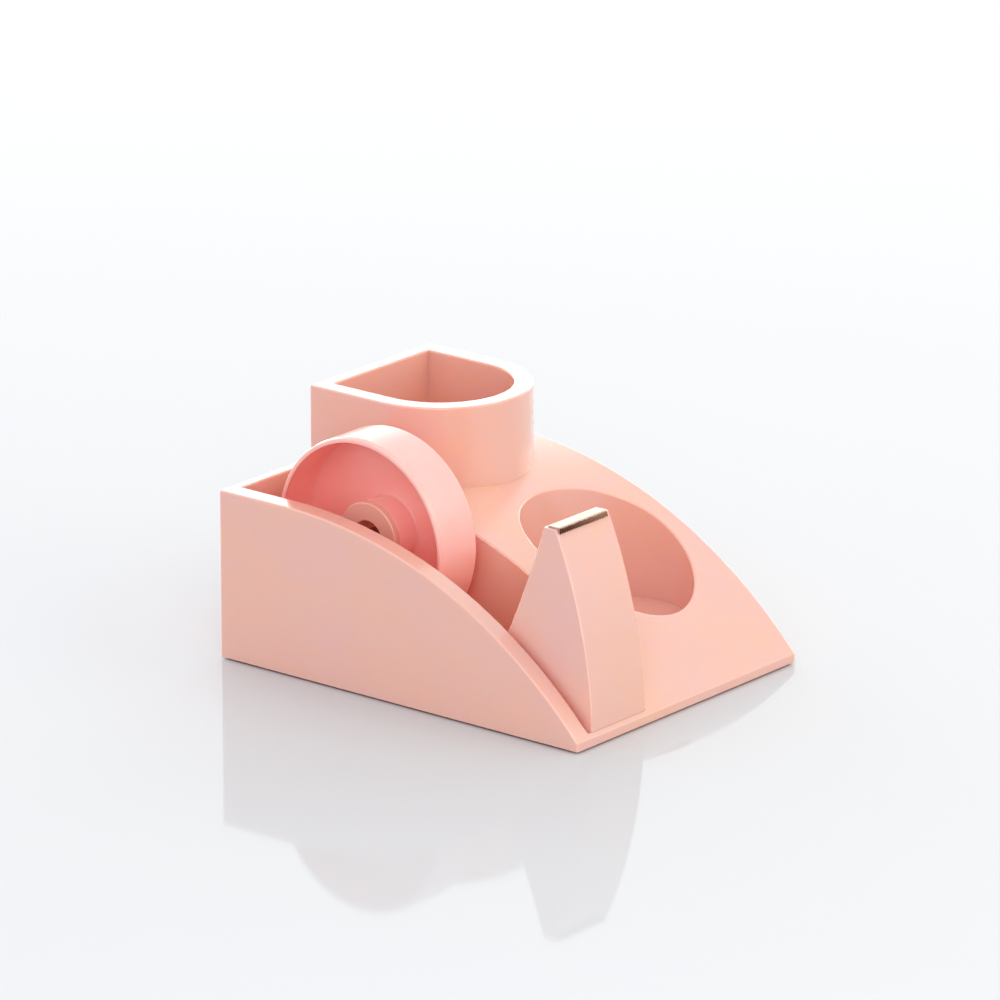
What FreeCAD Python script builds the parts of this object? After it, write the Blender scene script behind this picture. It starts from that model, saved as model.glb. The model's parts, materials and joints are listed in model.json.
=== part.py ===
"""Desk tape dispenser with a pen cup and a clip well, built as a parametric document.

Every piece is drawn in the housing's own coordinates: X to the right from the outer face of the
left cheek, Y back from the nose, Z up from the bottom edge of the moulding. Each piece's Placement
then moves it to the part's frame, whose origin is the centre of the footprint, on the desk.
"""
import FreeCAD, Part
import math
import os
import Sketcher

SIZES = [
    ("length", 164.0, "nose to rear face"),
    ("width", 125.6, "left cheek to right side"),
    ("rear_height", 62.8, "level strip at the rear, above the bottom edge"),
    ("nose_height", 3.0, "blunt front edge"),
    ("shelf_depth", 29.5, "level strip behind the arc"),
    ("skin", 2.4, "moulded wall"),
    ("rear_wall", 4.0, "wall behind the tape bay"),
    ("edge_round", 0.7, "rounding of the outer edges"),
    ("cheek", 8.0, "left cheek, a double wall"),
    ("bay_width", 31.9, "tape bay between cheek and block"),
    ("nose_bar", 6.0, "bar that joins cheek and block at the nose"),
    ("bar_height", 4.4, "top of that bar"),
    ("cup_left", 57.5, "inner left side of the pen cup"),
    ("cup_bore", 53.5, "inner width of the pen cup"),
    ("cup_straight", 27.5, "straight sides of the cup, from the inner rear wall"),
    ("cup_wall", 7.2, "rim of the cup"),
    ("cup_rear_wall", 5.5, "rim behind the cup"),
    ("cup_height", 90.2, "rim above the bottom edge"),
    ("cup_floor", 12.0, "inside floor of the cup"),
    ("well_side", 40.1, "well axis to the right side"),
    ("well_run", 54.8, "well axis from the nose"),
    ("well_radius", 31.2, "clip well"),
    ("well_floor", 14.0, "inside floor of the well"),
    ("tower_gap", 1.6, "groove between cheek and cutter tower"),
    ("tower_fit", 0.5, "gap between tower and block"),
    ("tower_lift", 0.1, "tower above the base plate and the nose bar"),
    ("tower_setback", 1.2, "tower front behind the nose"),
    ("tower_height", 75.4, "tower top"),
    ("tower_top_run", 23.0, "rear edge of the tower top, from the nose"),
    ("tower_foot_run", 54.5, "foot of the tape ramp, from the nose"),
    ("foot_blunt", 0.8, "upright end of the ramp at its foot"),
    ("tower_bow", 180.0, "radius of the tower front"),
    ("ramp_bow", 400.0, "radius of the hollow tape ramp"),
    ("tower_round", 0.4, "rounding of the tower's edges"),
    ("tower_core", 65.0, "top of the hollow inside the tower"),
    ("base_thick", 2.0, "base plate"),
    ("base_lip", 1.6, "edge of the moulding round the base plate"),
    ("base_gap", 0.25, "base plate to the edge round it"),
    ("foot_radius", 6.0, "rubber foot"),
    ("foot_thick", 2.0, "rubber foot"),
    ("foot_proud", 0.8, "rubber foot below the bottom edge"),
    ("foot_gap", 0.1, "rubber foot to its recess, radial"),
    ("foot_round", 0.5, "rounding of the foot's rim"),
    ("foot_side", 16.0, "foot centre from the sides"),
    ("foot_front", 24.0, "front feet from the nose"),
    ("foot_rear", 14.0, "rear feet from the rear face"),
    ("boss_radius", 3.5, "screw boss"),
    ("boss_height", 12.0, "screw boss above the base plate"),
    ("boss_front", 16.0, "front bosses from the nose"),
    ("boss_rear", 14.0, "rear bosses from the rear face"),
    ("boss_shift", 7.0, "middle bosses behind the middle of the row"),
    ("boss_bite", 0.5, "how far a boss runs into the wall beside it"),
    ("tower_boss", 15.0, "screw boss in the tower, from the bottom edge"),
    ("tower_boss_setback", 16.3, "tower bosses in front of the ramp's foot"),
    ("screw_radius", 1.45, "shank of a 2.9 mm self-tapping screw"),
    ("screw_head", 2.8, "countersunk head radius"),
    ("head_sunk", 0.1, "screw head above the plate's underside"),
    ("cross_reach", 1.8, "cross recess, half its length"),
    ("cross_half", 0.35, "cross recess, half its width"),
    ("cross_depth", 0.9, "cross recess"),
    ("screw_reach", 9.0, "base screw length"),
    ("tower_screw_reach", 12.0, "tower screw length"),
    ("ballast_screw_reach", 6.0, "ballast screw length"),
    ("pilot_gap", 0.1, "screw shank to its hole"),
    ("pilot_room", 0.5, "end of a screw hole to the top of its boss"),
    ("ballast_width", 58.0, "steel weights"),
    ("ballast_depth", 62.0, "steel weights"),
    ("ballast_pitch", 34.8, "between the two screws of a weight"),
    ("ballast_end", 1.5, "rear weight to the wall behind it"),
    ("ballast_gap", 0.6, "weight to the floor above it"),
    ("wheel_run", 111.5, "wheel axis from the nose"),
    ("wheel_rise", 50.6, "wheel axis above the bottom edge"),
    ("wheel_radius", 37.9, "drum that a 76 mm tape core slides on"),
    ("wheel_width", 19.6, "drum"),
    ("wheel_side", 7.0, "near face of the drum from the cheek"),
    ("wheel_rim", 1.6, "drum wall"),
    ("wheel_web", 2.4, "web"),
    ("lead_in", 1.6, "tapered start of the drum"),
    ("lead_drop", 0.5, "how far the taper falls"),
    ("hub_wall", 2.3, "wheel sleeve round the spool"),
    ("spool_setback", 4.4, "spool flange behind the near face"),
    ("spool_flange", 13.2, "flange radius"),
    ("flange_thick", 2.8, "spool flange"),
    ("spool_radius", 10.5, "barrel that the wheel turns on"),
    ("spool_recess", 6.4, "radius of the hollow in the near end"),
    ("recess_depth", 8.0, "depth of that hollow"),
    ("running_gap", 0.08, "wheel on spool, radial"),
    ("end_gap", 0.15, "wheel to the flange, washer and cap"),
    ("washer_thick", 0.5, "drag washer"),
    ("washer_gap", 0.2, "drag washer round the spool, radial"),
    ("cap_thick", 1.7, "spool cap"),
    ("cap_screw", 0.9, "cap screw shank radius"),
    ("cap_head", 0.35, "cap screw head height"),
    ("cap_reach", 5.0, "cap screw length"),
    ("rod_radius", 3.0, "steel axle rod"),
    ("press_gap", 0.05, "rod in the spool and the cap, radial"),
    ("rod_chamfer", 0.4, "rod ends"),
    ("rod_gap", 0.4, "rod end to the bay wall"),
    ("cradle_thick", 2.4, "cradle post"),
    ("cradle_width", 15.0, "cradle post"),
    ("cradle_rise", 1.5, "cradle post above the axis"),
    ("cradle_gap", 0.15, "rod in its cradle, radial"),
    ("blade_thick", 0.6, "cutter blade"),
    ("blade_seat", 0.1, "blade above the tower top"),
    ("blade_inset", 1.1, "left end of the blade to the tower's side"),
    ("blade_end", 2.4, "right end of the blade to the tower's side"),
    ("blade_leg", 5.6, "leg in the tower's slot"),
    ("leg_setback", 1.0, "leg from the rear edge of the tower top"),
    ("leg_room", 0.4, "end of the leg to the bottom of its slot"),
    ("slot_gap", 0.1, "blade leg in its slot"),
    ("lip_back", 0.2, "bend of the lip in front of the tower top"),
    ("lip_reach", 0.7, "lip in front of its bend"),
    ("lip_drop", 2.2, "lip below the blade's top"),
    ("lip_slant", 0.15, "inner corner of the lip's edge below the outer one"),
    ("tooth_pitch", 1.3, "cutting teeth"),
    ("tooth_depth", 0.9, "cutting teeth"),
]

doc = FreeCAD.newDocument("tape_dispenser")
sheet = doc.addObject("Spreadsheet::Sheet", "Sizes")


class Size:
    """A length: its number now, and the expression that ties it to the sheet."""

    def __init__(self, number, text):
        self.number = number
        self.text = text

    def __add__(self, other):
        other = as_size(other)
        return Size(self.number + other.number, "(%s + %s)" % (self.text, other.text))

    def __sub__(self, other):
        other = as_size(other)
        return Size(self.number - other.number, "(%s - %s)" % (self.text, other.text))

    def __mul__(self, other):
        other = as_size(other)
        return Size(self.number * other.number, "(%s * %s)" % (self.text, other.text))

    def __truediv__(self, other):
        other = as_size(other)
        return Size(self.number / other.number, "(%s / %s)" % (self.text, other.text))


class Found(Size):
    """A coordinate that the sketch finds by itself, with the number to start from."""


def as_size(value):
    """A plain number as a Size; a Size stays as it is."""
    if isinstance(value, Size):
        return value
    return Size(float(value), "%.6g" % value)


def root(size):
    """Square root of a Size."""
    return Size(math.sqrt(size.number), "sqrt(%s)" % size.text)


def fill_sheet():
    """Write each driving size and its note, and hand the sizes back by name."""
    sizes = {}
    for row, (name, number, note) in enumerate(SIZES, start=1):
        sheet.set("A%d" % row, note)
        sheet.set("B%d" % row, "%g" % number)
        sheet.setAlias("B%d" % row, name)
        sizes[name] = Size(number, "Sizes." + name)
    doc.recompute()
    return sizes


S = fill_sheet()

PAST = as_size(1.0)  # a cutting shape runs this far past the face that it cuts
BELOW = PAST * -1
ABOVE = S["cup_height"] + S["tower_height"]
TOUCH = 0.01  # points nearer than this count as on a face
AXIS_TURN = FreeCAD.Rotation(FreeCAD.Vector(0, 1, 0), 90)
PIECES = []

BAY_LEFT = S["cheek"]
BAY_RIGHT = S["cheek"] + S["bay_width"]
BAY_REAR = S["length"] - S["rear_wall"]
ARC_RUN = S["length"] - S["shelf_depth"]
ARC_RISE = S["rear_height"] - S["nose_height"]
ARC_RADIUS = (ARC_RISE * ARC_RISE + ARC_RUN * ARC_RUN) / (ARC_RISE * 2)
BLOCK_LEFT = BAY_RIGHT + S["skin"]
BLOCK_RIGHT = S["width"] - S["skin"]
CUP_RIGHT = S["cup_left"] + S["cup_bore"]
CUP_REAR = S["length"] - S["cup_rear_wall"]
CUP_CENTRE = CUP_REAR - S["cup_straight"]
WELL_X = S["width"] - S["well_side"]
TOWER_LEFT = BAY_LEFT + S["tower_gap"]
TOWER_RIGHT = BAY_RIGHT - S["tower_fit"]
WHEEL_NEAR = BAY_LEFT + S["wheel_side"]
WHEEL_FAR = WHEEL_NEAR + S["wheel_width"]
SPOOL_NEAR = WHEEL_NEAR + S["spool_setback"]
BARREL_NEAR = SPOOL_NEAR + S["flange_thick"]
WASHER_NEAR = WHEEL_FAR + S["end_gap"]
CAP_NEAR = WASHER_NEAR + S["washer_thick"] + S["end_gap"]
ORIGIN = (S["width"] / -2, S["length"] / -2, S["foot_proud"])


# ---------------------------------------------------------------- drawing helpers

def bind(thing, name, size):
    """Tie one property of an object to the sheet."""
    thing.setExpression(name, as_size(size).text)


def place(thing, corner, rotation=FreeCAD.Rotation()):
    """Put an object's origin at a corner whose three numbers follow the sheet."""
    x, y, z = (as_size(value) for value in corner)
    thing.Placement = FreeCAD.Placement(FreeCAD.Vector(x.number, y.number, z.number), rotation)
    for letter, value in zip("xyz", (x, y, z)):
        bind(thing, "Placement.Base." + letter, value)


def box(name, low, high):
    """A block between two corners."""
    block = doc.addObject("Part::Box", name)
    low = [as_size(value) for value in low]
    high = [as_size(value) for value in high]
    for side, start, end in zip(("Length", "Width", "Height"), low, high):
        bind(block, side, end - start)
    place(block, low)
    return block


def post(name, x, y, z, radius, height):
    """An upright cylinder."""
    rod = doc.addObject("Part::Cylinder", name)
    bind(rod, "Radius", radius)
    bind(rod, "Height", height)
    place(rod, (x, y, z))
    return rod


def across(name, start, end, radius):
    """A cylinder on the wheel's axis, from one X to another."""
    rod = doc.addObject("Part::Cylinder", name)
    bind(rod, "Radius", radius)
    bind(rod, "Height", end - start)
    place(rod, (start, S["wheel_run"], S["wheel_rise"]), AXIS_TURN)
    return rod


def join(name, pieces):
    """The union of several shapes."""
    fused = doc.addObject("Part::MultiFuse", name)
    fused.Shapes = pieces
    return fused


def cut(name, base, tool):
    """A shape with another taken out of it."""
    result = doc.addObject("Part::Cut", name)
    result.Base = base
    result.Tool = tool
    return result


def rounded(name, base, radius, keep):
    """Round the edges that keep(edge) accepts."""
    doc.recompute()
    fillet = doc.addObject("Part::Fillet", name)
    fillet.Base = base
    fillet.Edges = [(index, radius.number, radius.number)
                    for index, edge in enumerate(base.Shape.Edges, start=1)
                    if keep(edge) and is_sharp(base.Shape, edge)]
    return fillet


def is_sharp(shape, edge):
    """True where the two faces beside an edge meet at an angle."""
    spot = points_on(edge)[2]
    faces = shape.ancestorsOfType(edge, Part.Face)
    normals = [face.normalAt(*face.Surface.parameter(spot)) for face in faces]
    return len(normals) == 2 and normals[0].cross(normals[1]).Length > 0.01


def points_on(edge):
    """Five points along an edge."""
    first, last = edge.ParameterRange
    return [edge.valueAt(first + (last - first) * step / 4) for step in range(5)]


def turn_centre(start, end, arc):
    """The centre of an arc from what is known of it: a centre coordinate or its radius."""
    (u0, v0), (u1, v1) = start, end
    mid_u, mid_v = (u0 + u1) / 2, (v0 + v1) / 2
    du, dv = u1 - u0, v1 - v0
    if "centre_u" in arc and "centre_v" in arc:
        return arc["centre_u"].number, arc["centre_v"].number
    if "centre_u" in arc:
        centre_u = arc["centre_u"].number
        return centre_u, mid_v - (centre_u - mid_u) * du / dv
    if "centre_v" in arc:
        centre_v = arc["centre_v"].number
        return mid_u - (centre_v - mid_v) * dv / du, centre_v
    chord = math.hypot(du, dv)
    away = math.sqrt(arc["radius"].number ** 2 - chord ** 2 / 4) / chord
    side = 1 if arc["left"] else -1
    return mid_u - side * dv * away, mid_v + side * du * away


def draw(body, name, plane, offset, path):
    """A closed outline on one of the body's planes; every corner that isn't Found is tied down."""
    sketch = body.newObject("Sketcher::SketchObject", name)
    planes = [feature for feature in body.Origin.OriginFeatures if feature.Role == plane]
    sketch.AttachmentSupport = [(planes[0], "")]
    sketch.MapMode = "FlatFace"
    bind(sketch, "AttachmentOffset.Base.z", offset)
    corners = [(as_size(step[0]), as_size(step[1])) for step in path]
    arcs = [step[2] if len(step) == 3 else None for step in path]
    ends = []
    for index, arc in enumerate(arcs):
        start = tuple(value.number for value in corners[index])
        end = tuple(value.number for value in corners[(index + 1) % len(corners)])
        if arc is None:
            line = Part.LineSegment(FreeCAD.Vector(*start, 0), FreeCAD.Vector(*end, 0))
            sketch.addGeometry(line, False)
            ends.append((1, 2))
            continue
        centre = turn_centre(start, end, arc)
        angles = [math.atan2(v - centre[1], u - centre[0]) for u, v in (start, end)]
        anticlockwise = (angles[1] - angles[0]) % (2 * math.pi) < math.pi + 1e-6
        if not anticlockwise:
            angles.reverse()
        radius = math.hypot(start[0] - centre[0], start[1] - centre[1])
        ring = Part.Circle(FreeCAD.Vector(*centre, 0), FreeCAD.Vector(0, 0, 1), radius)
        sketch.addGeometry(Part.ArcOfCircle(ring, angles[0], angles[1]), False)
        ends.append((1, 2) if anticlockwise else (2, 1))
    for index, arc in enumerate(arcs):
        follower = (index + 1) % len(arcs)
        sketch.addConstraint(
            Sketcher.Constraint("Coincident", index, ends[index][1], follower, ends[follower][0]))
    for index, (u, v) in enumerate(corners):
        for kind, value in (("DistanceX", u), ("DistanceY", v)):
            if not isinstance(value, Found):
                tie(sketch, Sketcher.Constraint(kind, index, ends[index][0], value.number), value)
    for index, arc in enumerate(arcs):
        for kind, word in (("DistanceX", "centre_u"), ("DistanceY", "centre_v")):
            if arc and word in arc:
                tie(sketch, Sketcher.Constraint(kind, index, 3, arc[word].number), arc[word])
        if arc and "radius" in arc:
            tie(sketch, Sketcher.Constraint("Radius", index, arc["radius"].number), arc["radius"])
    return sketch


def tie(sketch, constraint, size):
    """Add a constraint and bind its number."""
    index = sketch.addConstraint(constraint)
    sketch.setExpression("Constraints[%d]" % index, size.text)


def pad(name, plane, start, end, path):
    """A body with one outline raised from one offset of its plane to another."""
    body = doc.addObject("PartDesign::Body", name)
    outline = draw(body, name + "_outline", plane, start, path)
    raised = body.newObject("PartDesign::Pad", name + "_pad")
    raised.Profile = outline
    bind(raised, "Length", end - start)
    return body


def revolve(name, path):
    """A body turned about the wheel's axis; the path holds (X, radius) pairs."""
    body = doc.addObject("PartDesign::Body", name)
    outline = draw(body, name + "_outline", "XZ_Plane", as_size(0), path)
    turned = body.newObject("PartDesign::Revolution", name + "_turn")
    turned.Profile = outline
    turned.ReferenceAxis = (outline, ["H_Axis"])
    turned.Angle = 360
    place(body, (0, S["wheel_run"], S["wheel_rise"]))
    return body


def finish(thing, name, on_axis=False):
    """Label a finished piece and move it to the part's frame."""
    thing.Label = name
    if on_axis:
        place(thing, (ORIGIN[0], ORIGIN[1] + S["wheel_run"], ORIGIN[2] + S["wheel_rise"]))
    else:
        place(thing, ORIGIN)
    PIECES.append(thing)
    return thing


# ---------------------------------------------------------------- housing

def side_outline():
    """Side view of the moulding: blunt nose, rising arc, level strip, upright rear."""
    return [
        (0, 0),
        (S["length"], 0),
        (S["length"], S["rear_height"]),
        (ARC_RUN, S["rear_height"], {"centre_u": ARC_RUN}),
        (0, S["nose_height"]),
    ]


def core_outline():
    """The same view, one skin smaller, for the hollow underneath."""
    front = S["nose_bar"] + S["skin"]
    centre_z = S["rear_height"] - ARC_RADIUS
    inner = ARC_RADIUS - S["skin"]
    drop = math.sqrt(inner.number ** 2 - (ARC_RUN.number - front.number) ** 2)
    return [
        (front, BELOW),
        (BAY_REAR, BELOW),
        (BAY_REAR, S["rear_height"] - S["skin"]),
        (ARC_RUN, S["rear_height"] - S["skin"], {"centre_u": ARC_RUN, "centre_v": centre_z}),
        (front, Found(centre_z.number + drop, "")),
    ]


def cup_outline(grow, rear):
    """Plan of the pen cup: flat rear, straight sides, half-round front."""
    left, right = S["cup_left"] - grow, CUP_RIGHT + grow
    return [
        (left, rear),
        (left, CUP_CENTRE, {"centre_v": CUP_CENTRE}),
        (right, CUP_CENTRE),
        (right, rear),
    ]


def cradle(name, low, high):
    """One U-shaped post that the axle rod drops into."""
    half = S["cradle_width"] / 2
    slot = S["rod_radius"] + S["cradle_gap"]
    run, rise = S["wheel_run"], S["wheel_rise"]
    stand = box(name, (low, run - half, S["base_thick"] + S["base_gap"]),
                (high, run + half, rise + S["cradle_rise"]))
    seat = across(name + "_seat", low - PAST, high + PAST, slot)
    mouth = box(name + "_mouth", (low - PAST, run - slot, rise), (high + PAST, run + slot, ABOVE))
    return cut(name + "_post", stand, join(name + "_slot", [seat, mouth]))


def boss_places():
    """The six base screws, in two rows against the block's side walls."""
    inset = S["boss_radius"] - S["boss_bite"]
    front, rear = S["boss_front"], S["length"] - S["boss_rear"]
    runs = (front, (front + rear) / 2 + S["boss_shift"], rear)
    return [(x, y) for x in (BLOCK_LEFT + inset, BLOCK_RIGHT - inset) for y in runs]


def make_hollow():
    """What is taken out from below: the cheek, the block and the cup's double wall."""
    cheek = pad("cheek_core", "YZ_Plane", S["skin"], BAY_LEFT - S["skin"], core_outline())
    block = pad("block_core", "YZ_Plane", BLOCK_LEFT, BLOCK_RIGHT, core_outline())
    cup = pad("cup_core", "XY_Plane", BELOW, S["cup_height"] - S["skin"],
              cup_outline(S["cup_wall"] - S["skin"], CUP_REAR))
    inner = pad("cup_keep", "XY_Plane", S["cup_floor"] - S["skin"], ABOVE,
                cup_outline(S["skin"], S["length"]))
    well = post("well_keep", WELL_X, S["well_run"], S["well_floor"] - S["skin"],
                S["well_radius"] + S["skin"], ABOVE)
    bosses = [post("boss_%d" % index, x, y, S["base_thick"], S["boss_radius"], S["boss_height"])
              for index, (x, y) in enumerate(boss_places())]
    room = cut("block_hollow", join("block_room", [block, cup]),
               join("block_keep", [inner, well] + bosses))
    recess = box("base_recess", (S["base_lip"], S["nose_bar"], BELOW),
                 (S["width"] - S["base_lip"], S["length"] - S["base_lip"], S["base_thick"]))
    return join("hollow", [cheek, room, recess])


def make_housing():
    """One moulding: cheek, rear wall, block with clip well and pen cup, open underneath."""
    form = pad("form", "YZ_Plane", as_size(0), S["width"], side_outline())
    cup = pad("cup_form", "XY_Plane", as_size(0), S["cup_height"],
              cup_outline(S["cup_wall"], S["length"]))
    bay = box("bay", (BAY_LEFT, S["nose_bar"], BELOW), (BAY_RIGHT, BAY_REAR, ABOVE))
    bay_front = box("bay_front", (BAY_LEFT, BELOW, S["bar_height"]),
                    (BAY_RIGHT, S["nose_bar"] + PAST, ABOVE))
    cup_room = pad("cup_room", "XY_Plane", S["cup_floor"], ABOVE, cup_outline(as_size(0), CUP_REAR))
    well = post("well_room", WELL_X, S["well_run"], S["well_floor"], S["well_radius"], ABOVE)
    pilots = [post("pilot_%d" % index, x, y, BELOW, S["screw_radius"] + S["pilot_gap"],
                   S["boss_height"]) for index, (x, y) in enumerate(boss_places())]
    rooms = join("rooms", [bay, bay_front, cup_room, well, make_hollow()] + pilots)
    outside = join("outside", [form, cup])
    shell = cut("shell", outside, rooms)
    left = cradle("cradle_left", BAY_LEFT - S["skin"] / 2, BAY_LEFT + S["cradle_thick"])
    right = cradle("cradle_right", BAY_RIGHT - S["cradle_thick"], BAY_RIGHT + S["skin"] / 2)
    moulding = join("moulding", [shell, left, right])
    doc.recompute()
    skin = outside.Shape.Shells[0]

    def shows(edge):
        """True on the rims and outer corners, and not where the cup meets the top surface."""
        spots = points_on(edge)
        if min(spot.z for spot in spots) < S["base_thick"].number and not upright(edge):
            return False
        on_skin = all(skin.distToShape(Part.Vertex(spot))[0] < TOUCH for spot in spots)
        return on_skin and not meets_cup(spots)

    return finish(rounded("housing_rounded", moulding, S["edge_round"], shows), "housing")


def upright(edge):
    """True for a straight vertical edge."""
    low, high = edge.valueAt(edge.ParameterRange[0]), edge.valueAt(edge.ParameterRange[1])
    return edge.Curve.TypeId == "Part::GeomLine" and math.hypot(high.x - low.x, high.y - low.y) < TOUCH


def meets_cup(spots):
    """True where the cup's outer wall rises from the level strip or from the arc."""
    left, right = (S["cup_left"] - S["cup_wall"]).number, (CUP_RIGHT + S["cup_wall"]).number
    middle, bottom = (left + right) / 2, CUP_CENTRE.number
    for spot in spots:
        away = math.hypot(spot.x - middle, min(spot.y - bottom, 0)) - (right - left) / 2
        if abs(away) > TOUCH or spot.z > S["rear_height"].number + TOUCH:
            return False
    return True


# ---------------------------------------------------------------- cutter tower and blade

def front_run(height, radius):
    """Where the bowed front of the tower is at a height, as a number to start a sketch from."""
    bow = (S["tower_setback"] + S["tower_bow"]).number
    return Found(bow - math.sqrt(radius.number ** 2 - as_size(height).number ** 2), "")


def tower_outline():
    """Side view of the tower: bowed front, small flat top, hollow ramp, notch over the bar."""
    low, step = S["base_thick"] + S["tower_lift"], S["bar_height"] + S["tower_lift"]
    notch = S["nose_bar"] + S["base_gap"]
    bow = {"centre_u": S["tower_setback"] + S["tower_bow"], "centre_v": as_size(0)}
    return [
        (front_run(step, S["tower_bow"]), step),
        (notch, step),
        (notch, low),
        (S["tower_foot_run"], low),
        (S["tower_foot_run"], low + S["foot_blunt"], {"radius": S["ramp_bow"], "left": False}),
        (S["tower_top_run"], S["tower_height"]),
        (front_run(S["tower_height"], S["tower_bow"]), S["tower_height"], bow),
    ]


def tower_core_outline():
    """The hollow in the tower, one skin inside its front and at least one inside its ramp."""
    run = S["tower_foot_run"] - S["tower_top_run"]
    rise = S["tower_height"] - S["base_thick"]
    sag = (run * run + rise * rise) / (S["ramp_bow"] * 8)
    inset = S["skin"] * root(run * run + rise * rise) / rise + sag
    top_rear = S["tower_top_run"] + (S["tower_height"] - S["tower_core"]) * run / rise - inset
    foot = S["tower_foot_run"] - inset
    front = S["nose_bar"] + S["base_gap"] + S["skin"]
    inner = S["tower_bow"] - S["skin"]
    bow = {"centre_u": S["tower_setback"] + S["tower_bow"], "centre_v": as_size(0)}
    knee = math.sqrt(inner.number ** 2 - (bow["centre_u"].number - front.number) ** 2)
    return [
        (front, BELOW),
        (foot, BELOW),
        (top_rear, S["tower_core"]),
        (front_run(S["tower_core"], inner), S["tower_core"], bow),
        (front, Found(knee, "")),
    ]


def tower_screw_places():
    """Two long screws that come up through the base plate into the tower."""
    inset = S["skin"] + S["boss_radius"] - S["boss_bite"]
    run = S["tower_foot_run"] - S["tower_boss_setback"]
    return [(TOWER_LEFT + inset, run), (TOWER_RIGHT - inset, run)]


def make_tower():
    """The upright that carries the cutter, hollow from below."""
    form = pad("tower_form", "YZ_Plane", TOWER_LEFT, TOWER_RIGHT, tower_outline())
    core = pad("tower_room", "YZ_Plane", TOWER_LEFT + S["skin"], TOWER_RIGHT - S["skin"],
               tower_core_outline())
    bosses = []
    pilots = []
    for index, (x, y) in enumerate(tower_screw_places()):
        bosses.append(post("tower_boss_%d" % index, x, y, BELOW, S["boss_radius"],
                           S["tower_boss"] + PAST))
        pilots.append(post("tower_pilot_%d" % index, x, y, BELOW, S["screw_radius"] + S["pilot_gap"],
                           S["tower_boss"] + PAST - S["pilot_room"]))
    leg = S["tower_top_run"] - S["leg_setback"]
    slot = box("blade_slot", (TOWER_LEFT + S["blade_inset"] - S["slot_gap"],
                              leg - S["blade_thick"] - S["slot_gap"],
                              S["tower_height"] - S["blade_leg"]),
               (TOWER_RIGHT - S["blade_end"] + S["slot_gap"], leg + S["slot_gap"], ABOVE))
    hollow = cut("tower_hollow", core, join("tower_bosses", bosses))
    tower = cut("tower", form, join("tower_rooms", [hollow, slot] + pilots))
    top, foot = S["tower_height"].number, S["tower_foot_run"].number

    def shows(edge):
        """True on the long edges of the front and the ramp, round the flat top and at the foot."""
        spots = points_on(edge)
        on_side = any(all(abs(spot.x - side.number) < TOUCH for spot in spots)
                      for side in (TOWER_LEFT, TOWER_RIGHT))
        tall = max(spot.z for spot in spots) > top - TOUCH > min(spot.z for spot in spots) + 1
        on_top = all(abs(spot.z - top) < TOUCH for spot in spots)
        at_foot = all(abs(spot.y - foot) < TOUCH for spot in spots)
        return on_side and (tall or on_top or at_foot)

    return finish(rounded("tower_rounded", tower, S["tower_round"], shows), "cutter_tower")


def make_blade():
    """Folded steel strip: leg in the slot, flat top, slanted lip with cutting teeth."""
    top = S["tower_height"] + S["blade_seat"] + S["blade_thick"]
    under = S["tower_height"] + S["blade_seat"]
    leg = S["tower_top_run"] - S["leg_setback"]
    bow = S["tower_height"] * S["tower_height"] / (S["tower_bow"] * 2)
    bend = S["tower_setback"] + bow - S["lip_back"]
    tip = bend - S["lip_reach"]
    leg_end = S["tower_height"] - S["blade_leg"] + S["leg_room"]
    lip_end = top - S["lip_drop"]
    inner_bend = bend + S["blade_thick"] / 2
    outline = [
        (leg, leg_end),
        (leg, top),
        (bend, top),
        (tip, lip_end),
        (tip + S["blade_thick"], lip_end - S["lip_slant"]),
        (inner_bend, under),
        (leg - S["blade_thick"], under),
        (leg - S["blade_thick"], leg_end),
    ]
    left, right = TOWER_LEFT + S["blade_inset"], TOWER_RIGHT - S["blade_end"]
    strip = pad("strip", "YZ_Plane", left, right, outline)
    low = lip_end - S["lip_slant"] * 2
    notch = [
        (left, low),
        (left + S["tooth_pitch"], low),
        (left + S["tooth_pitch"] / 2, low + S["tooth_depth"]),
    ]
    gap = strip.newObject("PartDesign::Pocket", "tooth_gap")
    gap.Profile = draw(strip, "tooth_outline", "XZ_Plane", (bend + S["blade_thick"]) * -1, notch)
    gap.Reversed = True
    bind(gap, "Length", S["lip_reach"] + S["blade_thick"] + PAST)
    row = strip.newObject("PartDesign::LinearPattern", "teeth")
    row.Originals = [gap]
    row.Direction = (gap.Profile[0], ["H_Axis"])
    count = math.floor((right - left).number / S["tooth_pitch"].number)
    row.Occurrences = count
    bind(row, "Length", S["tooth_pitch"] * (count - 1))
    strip.Tip = row
    return finish(strip, "cutter_blade")


# ---------------------------------------------------------------- base

def foot_places():
    """Name and centre of each rubber foot."""
    sides = (("left", S["foot_side"]), ("right", S["width"] - S["foot_side"]))
    runs = (("front", S["foot_front"]), ("rear", S["length"] - S["foot_rear"]))
    return [("foot_%s_%s" % (run, side), x, y) for run, y in runs for side, x in sides]


def ballast_places():
    """Name, front edge and height of each steel weight, under the well and under the cup."""
    front = S["well_run"] - S["ballast_depth"] / 2
    rear = BAY_REAR - S["ballast_depth"] - S["ballast_end"]
    return [("ballast_front", front, S["well_floor"]), ("ballast_rear", rear, S["cup_floor"])]


def ballast_screw_places():
    """Two screws in each weight."""
    middle = (BLOCK_LEFT + BLOCK_RIGHT) / 2
    spread = S["ballast_pitch"] / 2
    return [(middle + side, front + S["ballast_depth"] / 2)
            for name, front, floor in ballast_places() for side in (spread * -1, spread)]


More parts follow.
